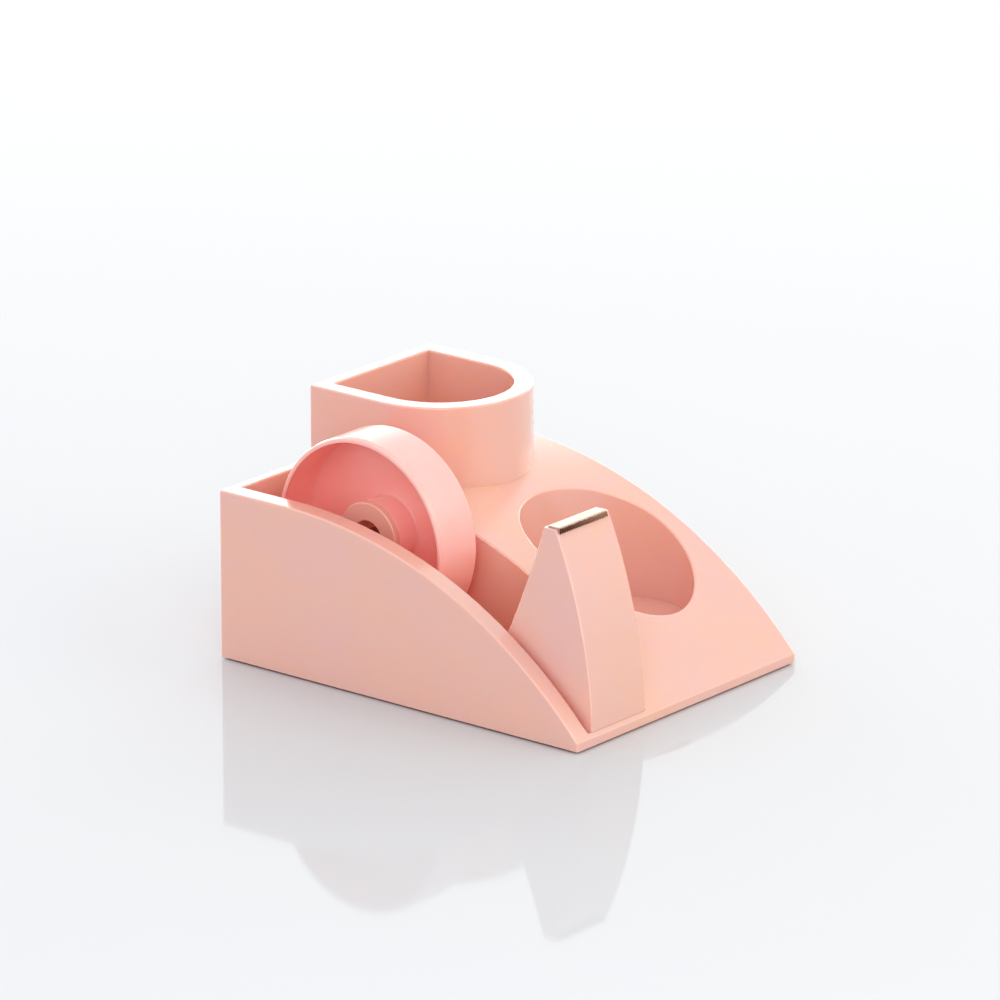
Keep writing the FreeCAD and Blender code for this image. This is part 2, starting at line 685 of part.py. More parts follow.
def countersunk(name, x, y, radius, head, reach):
    """A flush screw whose head is in the base plate: cone, shank and cross recess."""
    cone = doc.addObject("Part::Cone", name + "_head")
    bind(cone, "Radius1", head)
    bind(cone, "Radius2", radius)
    bind(cone, "Height", head - radius)
    place(cone, (x, y, S["head_sunk"]))
    shank = post(name + "_shank", x, y, S["head_sunk"], radius, reach)
    bars = []
    for letter, wide, deep in (("a", S["cross_reach"], S["cross_half"]),
                               ("b", S["cross_half"], S["cross_reach"])):
        bars.append(box(name + "_bar_" + letter, (x - wide, y - deep, BELOW),
                        (x + wide, y + deep, S["cross_depth"])))
    return cut(name, join(name + "_solid", [cone, shank]), join(name + "_cross", bars))


def sink(name, x, y):
    """The countersunk hole for one such screw."""
    grown = S["screw_head"] + S["pilot_gap"]
    radius = S["screw_radius"] + S["pilot_gap"]
    cone = doc.addObject("Part::Cone", name + "_sink")
    bind(cone, "Radius1", grown)
    bind(cone, "Radius2", radius)
    bind(cone, "Height", grown - radius)
    place(cone, (x, y, S["head_sunk"]))
    mouth = post(name + "_mouth", x, y, BELOW, grown, S["head_sunk"] + PAST)
    hole = post(name + "_hole", x, y, BELOW, radius, S["base_thick"] + PAST * 2)
    return join(name + "_way", [cone, mouth, hole])


def make_base():
    """The plate that closes the underside, with recesses for feet and screws."""
    edge = S["base_lip"] + S["base_gap"]
    plate = box("plate", (edge, S["nose_bar"] + S["base_gap"], 0),
                (S["width"] - edge, S["length"] - edge, S["base_thick"]))
    pockets = [post(name + "_pocket", x, y, BELOW, S["foot_radius"] + S["foot_gap"],
                    S["foot_thick"] - S["foot_proud"] + PAST) for name, x, y in foot_places()]
    places = boss_places() + tower_screw_places() + ballast_screw_places()
    holes = [sink("way_%d" % index, x, y) for index, (x, y) in enumerate(places)]
    return finish(cut("closed_plate", plate, join("plate_rooms", pockets + holes)), "base_plate")


def make_foot(name, x, y):
    """One rubber foot with a rounded rim."""
    pad_body = post(name + "_pad", x, y, S["foot_proud"] * -1, S["foot_radius"], S["foot_thick"])
    doc.recompute()
    rim = doc.addObject("Part::Fillet", name + "_rounded")
    rim.Base = pad_body
    edges = pad_body.Shape.Edges
    lowest = min(range(len(edges)), key=lambda index: edges[index].CenterOfMass.z)
    rim.Edges = [(lowest + 1, S["foot_round"].number, S["foot_round"].number)]
    return finish(rim, name)


def make_screws(name, places, reach):
    """A set of equal screws in one node."""
    screws = [countersunk("%s_%d" % (name, index), x, y, S["screw_radius"], S["screw_head"], reach)
              for index, (x, y) in enumerate(places)]
    group = doc.addObject("Part::Compound", name + "_set")
    group.Links = screws
    return finish(group, name)


def make_ballast(name, front, floor):
    """One steel weight, drilled for its two screws."""
    middle = (BLOCK_LEFT + BLOCK_RIGHT) / 2
    half = S["ballast_width"] / 2
    slab = box(name + "_slab", (middle - half, front, S["base_thick"]),
               (middle + half, front + S["ballast_depth"], floor - S["skin"] - S["ballast_gap"]))
    holes = [post("%s_hole_%d" % (name, index), x, y, BELOW, S["screw_radius"] + S["pilot_gap"],
                  floor) for index, (x, y) in enumerate(ballast_screw_places())]
    return finish(cut(name + "_drilled", slab, join(name + "_holes", holes)), name)


# ---------------------------------------------------------------- wheel

def make_wheel():
    """The drum for the tape core: tapered start, web at the far end, sleeve round the spool."""
    outer, inner = S["wheel_radius"], S["wheel_radius"] - S["wheel_rim"]
    bore = S["spool_radius"] + S["running_gap"]
    sleeve = bore + S["hub_wall"]
    web = WHEEL_FAR - S["wheel_web"]
    near = BARREL_NEAR + S["end_gap"]
    return finish(revolve("wheel", [
        (WHEEL_NEAR, inner - S["lead_drop"]),
        (WHEEL_NEAR, outer - S["lead_drop"]),
        (WHEEL_NEAR + S["lead_in"], outer),
        (WHEEL_FAR, outer),
        (WHEEL_FAR, bore),
        (near, bore),
        (near, sleeve),
        (web, sleeve),
        (web, inner),
        (WHEEL_NEAR + S["lead_in"], inner),
    ]), "tape_wheel", on_axis=True)


def make_spool():
    """The plastic hub that the wheel turns on, hollow at its near end, round the steel rod."""
    bore = S["rod_radius"] + S["press_gap"]
    floor = SPOOL_NEAR + S["recess_depth"]
    blank = revolve("spool_blank", [
        (SPOOL_NEAR, S["spool_recess"]),
        (SPOOL_NEAR, S["spool_flange"]),
        (BARREL_NEAR, S["spool_flange"]),
        (BARREL_NEAR, S["spool_radius"]),
        (CAP_NEAR, S["spool_radius"]),
        (CAP_NEAR, bore),
        (floor, bore),
        (floor, S["spool_recess"]),
    ])
    holes = cap_screw_holes("spool_hole", CAP_NEAR - S["cap_reach"], CAP_NEAR + PAST)
    return finish(cut("spool", blank, join("spool_holes", holes)), "wheel_spool")


def make_washer():
    """The flat ring between the wheel and the cap that keeps the tape from running on."""
    inner, outer = S["spool_radius"] + S["washer_gap"], S["spool_flange"]
    start, end = WASHER_NEAR, WASHER_NEAR + S["washer_thick"]
    ring = revolve("washer", [(start, inner), (start, outer), (end, outer), (end, inner)])
    return finish(ring, "drag_washer", on_axis=True)


def make_rod():
    """The steel rod whose ends rest in the cradles."""
    rod = across("rod", BAY_LEFT + S["rod_gap"], BAY_RIGHT - S["rod_gap"], S["rod_radius"])
    doc.recompute()
    ends = doc.addObject("Part::Chamfer", "rod_ends")
    ends.Base = rod
    rims = [index for index, edge in enumerate(rod.Shape.Edges, start=1) if edge.Closed]
    ends.Edges = [(index, S["rod_chamfer"].number, S["rod_chamfer"].number) for index in rims]
    return finish(ends, "axle_rod")


def cap_screw_turns():
    """Directions from the axis to the three cap screws, as (Y, Z) pairs."""
    turns = [math.radians(90 + 120 * index) for index in range(3)]
    return [(math.cos(turn), math.sin(turn)) for turn in turns]


def make_cap():
    """The cap that keeps the wheel on the spool."""
    blank = across("cap_blank", CAP_NEAR, CAP_NEAR + S["cap_thick"], S["spool_flange"])
    start, end = CAP_NEAR - PAST, CAP_NEAR + S["cap_thick"] + PAST
    holes = cap_screw_holes("cap_hole", start, end)
    holes.append(across("cap_bore", start, end, S["rod_radius"] + S["press_gap"]))
    return finish(cut("cap", blank, join("cap_holes", holes)), "spool_cap")


def cap_screw_holes(name, start, end):
    """The three holes for the cap screws, from one X to another."""
    holes = []
    for index, (along_y, along_z) in enumerate(cap_screw_turns()):
        hole = across("%s_%d" % (name, index), start, end, S["cap_screw"] + S["pilot_gap"])
        shift_from_axis(hole, start, along_y, along_z)
        holes.append(hole)
    return holes


def shift_from_axis(piece, start, along_y, along_z):
    """Move a cylinder that lies along X from the axis out to a cap screw's place."""
    ring_radius = (S["spool_radius"] + S["rod_radius"]) / 2
    place(piece, (start, S["wheel_run"] + ring_radius * along_y,
                  S["wheel_rise"] + ring_radius * along_z), AXIS_TURN)


def make_cap_screws():
    """Three small screws that hold the cap on the spool."""
    screws = []
    face = CAP_NEAR + S["cap_thick"]
    for index, (along_y, along_z) in enumerate(cap_screw_turns()):
        head = across("cap_head_%d" % index, face, face + S["cap_head"], S["cap_screw"] * 2)
        shank = across("cap_shank_%d" % index, face - S["cap_reach"], face, S["cap_screw"])
        shift_from_axis(head, face, along_y, along_z)
        shift_from_axis(shank, face - S["cap_reach"], along_y, along_z)
        screws.append(join("cap_screw_%d" % index, [head, shank]))
    group = doc.addObject("Part::Compound", "cap_screw_set")
    group.Links = screws
    return finish(group, "cap_screws")


def main():
    """Every piece, from the housing to the cap screws."""
    make_housing()
    make_tower()
    make_blade()
    make_base()
    for name, x, y in foot_places():
        make_foot(name, x, y)
    make_screws("base_screws", boss_places(), S["screw_reach"])
    make_screws("tower_screws", tower_screw_places(), S["tower_screw_reach"])
    make_screws("ballast_screws", ballast_screw_places(), S["ballast_screw_reach"])
    for name, front, floor in ballast_places():
        make_ballast(name, front, floor)
    make_wheel()
    make_spool()
    make_rod()
    make_washer()
    make_cap()
    make_cap_screws()
    doc.recompute()


def check_document():
    """Stop if any object failed or any piece has no valid solid."""
    faults = [thing.Name for thing in doc.Objects
              if "Invalid" in thing.State or "Error" in thing.State]
    for piece in PIECES:
        shape = piece.Shape
        if shape.isNull() or not shape.isValid() or not shape.Solids or shape.Volume <= 0:
            faults.append(piece.Label)
    if faults:
        raise RuntimeError("these objects failed: " + ", ".join(faults))


def export_parts():
    """Write every piece to parts/NODE.step."""
    os.makedirs("parts", exist_ok=True)
    for piece in PIECES:
        piece.Shape.exportStep("parts/%s.step" % piece.Label)
        print("%-18s solids %d volume %.1f" % (piece.Label, len(piece.Shape.Solids),
                                              piece.Shape.Volume))


main()
check_document()
export_parts()
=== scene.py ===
"""Looks of the desk tape dispenser: gloss mouldings, drum wheel, folded cutter blade, soft studio.

Lengths are in metres in the part's own frame: X to the right, Y to the rear, Z up from the desk.
"""
import json
import math

import bpy
import bmesh
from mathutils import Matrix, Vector


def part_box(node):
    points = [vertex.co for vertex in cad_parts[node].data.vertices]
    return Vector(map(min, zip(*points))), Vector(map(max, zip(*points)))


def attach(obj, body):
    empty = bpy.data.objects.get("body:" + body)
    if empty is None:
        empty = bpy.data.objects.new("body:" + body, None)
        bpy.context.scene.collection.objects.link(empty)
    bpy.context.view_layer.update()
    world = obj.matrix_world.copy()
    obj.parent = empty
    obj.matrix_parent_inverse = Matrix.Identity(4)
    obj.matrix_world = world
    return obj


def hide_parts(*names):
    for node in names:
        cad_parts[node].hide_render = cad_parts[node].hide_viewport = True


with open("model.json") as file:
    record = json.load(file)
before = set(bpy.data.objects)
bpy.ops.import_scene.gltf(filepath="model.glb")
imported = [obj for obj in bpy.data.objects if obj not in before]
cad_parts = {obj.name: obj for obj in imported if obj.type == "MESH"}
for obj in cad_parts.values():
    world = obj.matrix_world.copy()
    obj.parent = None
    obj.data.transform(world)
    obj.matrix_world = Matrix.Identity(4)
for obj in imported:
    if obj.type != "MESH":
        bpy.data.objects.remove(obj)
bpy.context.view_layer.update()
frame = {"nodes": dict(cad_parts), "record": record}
NODES = frame["nodes"]
MM = 0.001

# ---------------------------------------------------------------- camera, floor and light

CAMERA_PLACE = (-2.1782, -1.7621, 0.9642)
CAMERA_LOOK = (0.7394, 0.5994, -0.3069)
CAMERA_LENS = 296.5
SENSOR = 36.0
CLIP_END = 100
VIEW_EXPOSURE = -0.47
FLOOR_RADIUS = 6.0
FLOOR_SIDES = 96
FLOOR_COLOUR = (0.685, 0.70, 0.725, 1)
STUDIO_MIDDLE = (0.0, 0.0, 0.04)

# The surroundings are brightest low down behind the object.
AMBIENT = 0.88
GLOW = 1.9
GLOW_DIRECTION = (0.77, 0.63, 0.0)
GLOW_SIDES = (0.2, 0.9)
GLOW_HEIGHTS = (0.58, 0.24)

# name, place, width and height, power in watts, colour
SOFTBOXES = [
    ("left_front_softbox", (-1.2, -0.9, 0.9), (0.9, 0.9), 6.5, (0.96, 0.97, 1.0)),
    ("front_right_softbox", (0.5, -1.3, 0.8), (1.2, 1.2), 3.9, (1.0, 0.92, 0.66)),
]


def link(name, data):
    """Put a new object in the scene."""
    thing = bpy.data.objects.new(name, data)
    bpy.context.scene.collection.objects.link(thing)
    return thing


def aim(thing, place, direction):
    """Stand a camera or a light at a place, facing along a direction."""
    thing.location = place
    thing.rotation_mode = "QUATERNION"
    thing.rotation_quaternion = Vector(direction).to_track_quat("-Z", "Y")


def make_camera():
    data = bpy.data.cameras.new("camera")
    data.lens = CAMERA_LENS
    data.sensor_width = SENSOR
    data.clip_end = CLIP_END
    camera = link("camera", data)
    aim(camera, CAMERA_PLACE, CAMERA_LOOK)
    bpy.context.scene.camera = camera
    view = bpy.context.scene.view_settings
    view.view_transform = "Standard"
    view.look = "High Contrast"
    view.exposure = VIEW_EXPOSURE


def make_floor():
    """A large sheet of polished white acrylic."""
    mesh = bpy.data.meshes.new("floor")
    shape = bmesh.new()
    bmesh.ops.create_circle(shape, cap_ends=True, segments=FLOOR_SIDES, radius=FLOOR_RADIUS)
    shape.to_mesh(mesh)
    shape.free()
    material, shader = new_material("floor_acrylic", roughness=0.05, ior=1.15)
    shader.inputs["Base Color"].default_value = FLOOR_COLOUR
    mesh.materials.append(material)
    link("floor", mesh)


def make_softbox(name, place, size, power, colour):
    """A rectangular softbox that faces the middle of the studio."""
    data = bpy.data.lights.new(name, "AREA")
    data.shape = "RECTANGLE"
    data.size, data.size_y = size
    data.energy = power
    data.color = colour
    light = link(name, data)
    aim(light, place, Vector(STUDIO_MIDDLE) - Vector(place))
    light.visible_camera = False


def make_studio():
    """White surroundings, brighter behind the object, and softboxes."""
    world = bpy.data.worlds.new("studio")
    bpy.context.scene.world = world
    world.use_nodes = True
    background = world.node_tree.nodes["Background"]
    background.inputs["Color"].default_value = (1, 1, 1, 1)
    tree = Tree(world.node_tree)
    direction = tree.add("ShaderNodeTexCoord").outputs["Generated"]
    behind = tree.add("ShaderNodeVectorMath", {"operation": "DOT_PRODUCT"})
    tree.feed(behind.inputs[0], direction)
    tree.feed(behind.inputs[1], GLOW_DIRECTION)
    height = tree.add("ShaderNodeSeparateXYZ", Vector=direction).outputs["Z"]
    towards = tree.spread(behind.outputs["Value"], *GLOW_SIDES)
    near_horizon = tree.spread(height, *GLOW_HEIGHTS)
    share = tree.math("MULTIPLY", towards, near_horizon)
    tree.feed(background.inputs["Strength"], tree.math("MULTIPLY_ADD", share, GLOW, AMBIENT))
    for name, place, size, power, colour in SOFTBOXES:
        make_softbox(name, place, size, power, colour)


# ---------------------------------------------------------------- shader groups

class Tree:
    """A node tree with short calls for adding nodes and links."""

    def __init__(self, tree):
        self.tree = tree

    def add(self, kind, settings=None, **inputs):
        """Add a node. Inputs are numbers, colours or other nodes' outputs, by socket name."""
        node = self.tree.nodes.new(kind)
        for name, value in (settings or {}).items():
            setattr(node, name, value)
        for name, value in inputs.items():
            self.feed(node.inputs[name.replace("_", " ")], value)
        return node

    def feed(self, socket, value):
        if isinstance(value, bpy.types.NodeSocket):
            self.tree.links.new(value, socket)
        else:
            socket.default_value = value

    def math(self, operation, first, second=0.0, third=0.0, clamp=False):
        node = self.add("ShaderNodeMath", {"operation": operation, "use_clamp": clamp})
        for socket, value in zip(node.inputs, (first, second, third)):
            self.feed(socket, value)
        return node.outputs[0]

    def mix(self, factor, first, second):
        """Blend two colours."""
        node = self.add("ShaderNodeMix", {"data_type": "RGBA"})
        sockets = [s for s in node.inputs if s.enabled]
        for socket, value in zip(sockets, (factor, first, second)):
            self.feed(socket, value)
        return next(s for s in node.outputs if s.enabled)

    def noise(self, place, scale, detail=2.0, roughness=0.5):
        node = self.add("ShaderNodeTexNoise", Vector=place, Scale=scale, Detail=detail,
                        Roughness=roughness)
        return node.outputs[0]

    def spread(self, value, low, high, start=0.0, end=1.0):
        """Map a range of a value to another, clamped."""
        node = self.add("ShaderNodeMapRange", Value=value)
        for socket, number in zip(node.inputs[1:5], (low, high, start, end)):
            self.feed(socket, number)
        return node.outputs[0]


def shader_group(name, inputs, outputs, fill):
    """A node group; fill(tree, inputs) returns the values of its outputs by name."""
    tree = bpy.data.node_groups.new(name, "ShaderNodeTree")
    for label, kind, value in inputs:
        socket = tree.interface.new_socket(label, in_out="INPUT", socket_type="NodeSocket" + kind)
        if value is not None:
            socket.default_value = value
    for label, kind in outputs:
        tree.interface.new_socket(label, in_out="OUTPUT", socket_type="NodeSocket" + kind)
    start = tree.nodes.new("NodeGroupInput")
    end = tree.nodes.new("NodeGroupOutput")
    results = fill(Tree(tree), {label: start.outputs[label] for label, kind, value in inputs})
    for label, value in results.items():
        tree.links.new(value, end.inputs[label])
    return tree


FLOW_STRETCH = (1.0, 0.12, 1.0)
FLOW_SHARE = 0.35
CLOUD_SHARE = 0.65
SCUFF_STRETCH = (1.0, 0.03, 1.0)

# each set of hairlines: its turn in radians, and where in the noise it starts
SCUFF_SETS = ((0.5, 3.1), (-0.9, 7.7))


def fill_drift(tree, given):
    """Pigment that isn't quite even: broad soft clouds and fine flow lines from the gate."""
    clouds = tree.noise(given["Place"], given["Cloud Scale"], 3.0)
    stretched = tree.add("ShaderNodeMapping", Vector=given["Place"])
    stretched.inputs["Scale"].default_value = FLOW_STRETCH
    flow = tree.noise(stretched.outputs[0], given["Flow Scale"], 2.0)
    both = tree.math("MULTIPLY_ADD", flow, FLOW_SHARE,
                     tree.math("MULTIPLY", clouds, CLOUD_SHARE))
    share = tree.math("MULTIPLY", tree.spread(both, 0.35, 0.65), given["Amount"])
    return {"Colour": tree.mix(share, given["Colour"], given["Other Colour"])}


def fill_peel(tree, given):
    """The faint waviness of a polished moulding, with finer ripple on top."""
    wave = tree.noise(given["Place"], given["Wave Scale"], 1.0)
    ripple = tree.noise(given["Place"], tree.math("MULTIPLY", given["Wave Scale"], 6.0), 2.0)
    height = tree.math("MULTIPLY_ADD", ripple, given["Ripple"], wave)
    bump = tree.add("ShaderNodeBump", Height=height, Distance=given["Depth"])
    bump.inputs["Strength"].default_value = 1.0
    return {"Normal": bump.outputs["Normal"]}


def fill_scuffs(tree, given):
    """Hairline rubbing marks in two directions, where a coarse noise lets them show."""
    lines = []
    for turn, seed in SCUFF_SETS:
        turned = tree.add("ShaderNodeMapping", Vector=given["Place"])
        turned.inputs["Location"].default_value = (seed, seed / 2, seed / 3)
        turned.inputs["Rotation"].default_value = (turn, turn / 2, turn)
        turned.inputs["Scale"].default_value = SCUFF_STRETCH
        lines.append(tree.spread(tree.noise(turned.outputs[0], given["Line Scale"], 1.0),
                                 0.66, 0.72))
    patches = tree.spread(tree.noise(given["Place"], given["Patch Scale"], 2.0), 0.5, 0.68)
    both = tree.math("MAXIMUM", lines[0], lines[1])
    return {"Mask": tree.math("MULTIPLY", both, patches)}


def fill_dust(tree, given):
    """Sparse specks that lie on faces turned upwards."""
    cells = tree.add("ShaderNodeTexVoronoi", Vector=given["Place"], Scale=given["Speck Scale"])
    specks = tree.spread(cells.outputs["Distance"], 0.16, 0.05)
    few = tree.spread(tree.noise(given["Place"], given["Patch Scale"], 2.0), 0.55, 0.7)
    facing = tree.add("ShaderNodeNewGeometry")
    upwards = tree.add("ShaderNodeSeparateXYZ", Vector=facing.outputs["Normal"])
    level = tree.spread(upwards.outputs["Z"], 0.55, 0.95)
    return {"Mask": tree.math("MULTIPLY", tree.math("MULTIPLY", specks, few), level)}


def fill_rings(tree, given):
    """Fine turning marks round an axis that lies along X."""
    centred = tree.add("ShaderNodeVectorMath", {"operation": "SUBTRACT"})
    tree.feed(centred.inputs[0], given["Place"])
    tree.feed(centred.inputs[1], given["Centre"])
    parts = tree.add("ShaderNodeSeparateXYZ", Vector=centred.outputs[0])
    square = tree.math("MULTIPLY", parts.outputs["Y"], parts.outputs["Y"])
    away = tree.math("SQRT", tree.math("MULTIPLY_ADD", parts.outputs["Z"], parts.outputs["Z"],
                                       square))
    along = tree.add("ShaderNodeCombineXYZ", X=away, Y=parts.outputs["X"])
    marks = tree.noise(along.outputs[0], given["Ring Scale"], 3.0, 0.7)
    bump = tree.add("ShaderNodeBump", Height=marks, Distance=given["Depth"])
    return {"Mask": marks, "Normal": bump.outputs["Normal"]}


PLACE_INPUT = ("Place", "Vector", None)
GROUPS = {}


def make_groups():
    """Every effect that more than one material uses, built once."""
    GROUPS["drift"] = shader_group("pigment_drift", [
        PLACE_INPUT, ("Colour", "Color", None), ("Other Colour", "Color", None),
        ("Amount", "Float", 0.5), ("Cloud Scale", "Float", 25.0), ("Flow Scale", "Float", 160.0),
    ], [("Colour", "Color")], fill_drift)
    GROUPS["peel"] = shader_group("moulded_surface", [
        PLACE_INPUT, ("Wave Scale", "Float", 250.0), ("Ripple", "Float", 0.2),
        ("Depth", "Float", 0.00001),
    ], [("Normal", "Vector")], fill_peel)
    GROUPS["scuffs"] = shader_group("hairline_scuffs", [
        PLACE_INPUT, ("Line Scale", "Float", 900.0), ("Patch Scale", "Float", 30.0),
    ], [("Mask", "Float")], fill_scuffs)
    GROUPS["dust"] = shader_group("settled_dust", [
        PLACE_INPUT, ("Speck Scale", "Float", 700.0), ("Patch Scale", "Float", 60.0),
    ], [("Mask", "Float")], fill_dust)
    GROUPS["rings"] = shader_group("turning_marks", [
        PLACE_INPUT, ("Centre", "Vector", None), ("Ring Scale", "Float", 1500.0),
        ("Depth", "Float", 0.00001),
    ], [("Mask", "Float"), ("Normal", "Vector")], fill_rings)


# ---------------------------------------------------------------- materials

# Colour of the painted glow that the mouldings give off, though they are no lamp.
PAINTED_RED_GLOW = (1.0, 0.11, 0.06, 1)
RED_SPREAD = (1.0, 0.35, 0.25)
DUST_COLOUR = (0.93, 0.90, 0.88, 1)
DUST_SHARE = 0.12
DUST_BLUR = 0.3
SCUFF_BLUR = 0.05
POLISH_DEPTH = 0.000006
# Where the blade's lip turns darker than its top, and its colours across the blade.
LIP_START = -0.0651
LIP_FADE = 0.0003
LIP_WANDER = 0.0001
LIP_ENDS = (-0.048, -0.028)
LIP_BROWN = (0.16, 0.080, 0.055, 1)
LIP_STRAW = (0.36, 0.23, 0.17, 1)


def new_material(name, roughness, ior=1.5, metallic=0.0, coat=0.0):
    """A material with its main shader's plain numbers set."""
    material = bpy.data.materials.new(name)
    material.use_nodes = True
    shader = material.node_tree.nodes["Principled BSDF"]
    shader.inputs["Roughness"].default_value = roughness
    shader.inputs["IOR"].default_value = ior
    shader.inputs["Metallic"].default_value = metallic
    shader.inputs["Coat Weight"].default_value = coat
    return material, shader


def place_group(tree, key, **inputs):
    """Put one of the shared effects in a material, reading the object's own coordinates."""
    node = tree.add("ShaderNodeGroup", {"node_tree": GROUPS[key]})
    tree.feed(node.inputs["Place"], tree.coordinates)
    for name, value in inputs.items():
        tree.feed(node.inputs[name.replace("_", " ")], value)
    return node


def open_tree(material):
    tree = Tree(material.node_tree)
    tree.coordinates = tree.add("ShaderNodeTexCoord").outputs["Object"]
    return tree


def moulded_plastic(name, colour, other, gloss, coat_blur, translucent, glow_depth, painted_glow):
    """Gloss moulding: uneven pigment, waviness, hairlines, dust and translucence.

    A faint red emission is painted light, a glow that puts a little of the missing red back into
    the recesses."""
    material, shader = new_material(name, gloss, ior=1.6, coat=0.7)
    shader.inputs["Coat Roughness"].default_value = coat_blur
    shader.inputs["Subsurface Weight"].default_value = translucent
    shader.inputs["Subsurface Radius"].default_value = RED_SPREAD
    shader.inputs["Subsurface Scale"].default_value = glow_depth
    # Painted light: a faint red glow given off by the plastic itself.
    shader.inputs["Emission Color"].default_value = PAINTED_RED_GLOW
    shader.inputs["Emission Strength"].default_value = painted_glow
    tree = open_tree(material)
    drift = place_group(tree, "drift", Colour=colour, Other_Colour=other, Amount=1.0)
    specks = place_group(tree, "dust")
    scuffs = place_group(tree, "scuffs")
    peel = place_group(tree, "peel", Depth=POLISH_DEPTH)
    settled = tree.math("MULTIPLY", specks.outputs["Mask"], DUST_SHARE)
    tree.feed(shader.inputs["Base Color"],
              tree.mix(settled, drift.outputs["Colour"], DUST_COLOUR))
    worn = tree.math("MULTIPLY_ADD", scuffs.outputs["Mask"], SCUFF_BLUR, gloss)
    tree.feed(shader.inputs["Roughness"],
              tree.math("MULTIPLY_ADD", specks.outputs["Mask"], DUST_BLUR, worn))
    tree.feed(shader.inputs["Normal"], peel.outputs["Normal"])
    return material


def matt_plastic(name, colour, other):
    """Spark-eroded texture of the base plate."""
    material, shader = new_material(name, 0.6)
    tree = open_tree(material)
    drift = place_group(tree, "drift", Colour=colour, Other_Colour=other)
    grain = place_group(tree, "peel", Wave_Scale=2200.0, Ripple=0.6, Depth=0.00008)
    tree.feed(shader.inputs["Base Color"], drift.outputs["Colour"])
    tree.feed(shader.inputs["Normal"], grain.outputs["Normal"])
    return material


def brushed_steel(name, colour, dark, roughness, stretch=(0.04, 1.0, 1.0)):
    """Steel with brushing along one direction and faint stains."""
    material, shader = new_material(name, roughness, metallic=1.0)
    tree = open_tree(material)
    grain = tree.add("ShaderNodeMapping", Vector=tree.coordinates)
    grain.inputs["Scale"].default_value = stretch
    lines = tree.noise(grain.outputs[0], 4000.0, 3.0, 0.7)
    stains = tree.spread(tree.noise(tree.coordinates, 120.0, 3.0), 0.45, 0.75, 0.0, 0.4)
    streaks = tree.math("MULTIPLY", tree.spread(lines, 0.3, 0.7), 0.25)
    tree.feed(shader.inputs["Base Color"],
              tree.mix(tree.math("ADD", streaks, stains, clamp=True), colour, dark))
    tree.feed(shader.inputs["Roughness"],
              tree.spread(lines, 0.3, 0.7, roughness * 0.8, roughness * 1.3))
    bump = tree.add("ShaderNodeBump", Height=lines, Distance=0.000008)
    tree.feed(shader.inputs["Normal"], bump.outputs["Normal"])
    return material


def darkened_lip(material):
    """Make the blade's lip darker than its top: brown, turning straw-coloured across the blade."""
    tree = Tree(material.node_tree)
    shader = material.node_tree.nodes["Principled BSDF"]
    plain = shader.inputs["Base Color"].links[0].from_socket
    place = tree.add("ShaderNodeTexCoord").outputs["Object"]
    parts = tree.add("ShaderNodeSeparateXYZ", Vector=place)
    wander = tree.spread(tree.noise(place, 900.0, 3.0), 0.3, 0.7, -LIP_WANDER, LIP_WANDER)
    edge = tree.math("ADD", parts.outputs["Y"], wander)
    lip = tree.spread(edge, LIP_START, LIP_START - LIP_FADE)
    across = tree.spread(parts.outputs["X"], *LIP_ENDS)
    brown = tree.mix(across, LIP_BROWN, LIP_STRAW)
    tree.feed(shader.inputs["Base Color"], tree.mix(lip, plain, brown))
    return material


def turned_steel(name, colour, centre):
    """The ground rod, with fine marks round its axis."""
    material, shader = new_material(name, 0.15, metallic=1.0)
    tree = open_tree(material)
    rings = place_group(tree, "rings", Centre=centre, Ring_Scale=5000.0, Depth=0.000004)
    shade = tree.spread(rings.outputs["Mask"], 0.3, 0.7)
    tree.feed(shader.inputs["Base Color"], tree.mix(shade, colour, (0.55, 0.55, 0.57, 1)))
    tree.feed(shader.inputs["Roughness"],
              tree.spread(rings.outputs["Mask"], 0.3, 0.7, 0.12, 0.24))
    tree.feed(shader.inputs["Normal"], rings.outputs["Normal"])
    return material


def foot_rubber(name, colour, other):
    """Soft grey polyurethane with a fine matt skin and a little grime."""
    material, shader = new_material(name, 0.55)
    shader.inputs["Subsurface Weight"].default_value = 0.4
    shader.inputs["Subsurface Radius"].default_value = (1.0, 0.95, 0.9)
    shader.inputs["Subsurface Scale"].default_value = 1 * MM
    tree = open_tree(material)
    grime = tree.spread(tree.noise(tree.coordinates, 500.0, 4.0), 0.5, 0.7, 0.0, 0.7)
    grain = place_group(tree, "peel", Wave_Scale=3000.0, Ripple=0.8, Depth=0.00003)
    tree.feed(shader.inputs["Base Color"], tree.mix(grime, colour, other))
    tree.feed(shader.inputs["Normal"], grain.outputs["Normal"])
    return material


def felted_fibre(name, colour, other):
    """Felt of the drag washer: tangled short fibres."""
    material, shader = new_material(name, 0.95)
    shader.inputs["Sheen Weight"].default_value = 0.4
    tree = open_tree(material)
    fibres = tree.noise(tree.coordinates, 3500.0, 6.0, 0.8)
    tree.feed(shader.inputs["Base Color"],
              tree.mix(tree.spread(fibres, 0.35, 0.65), colour, other))
    bump = tree.add("ShaderNodeBump", Height=fibres, Distance=0.0001)
    tree.feed(shader.inputs["Normal"], bump.outputs["Normal"])
    return material


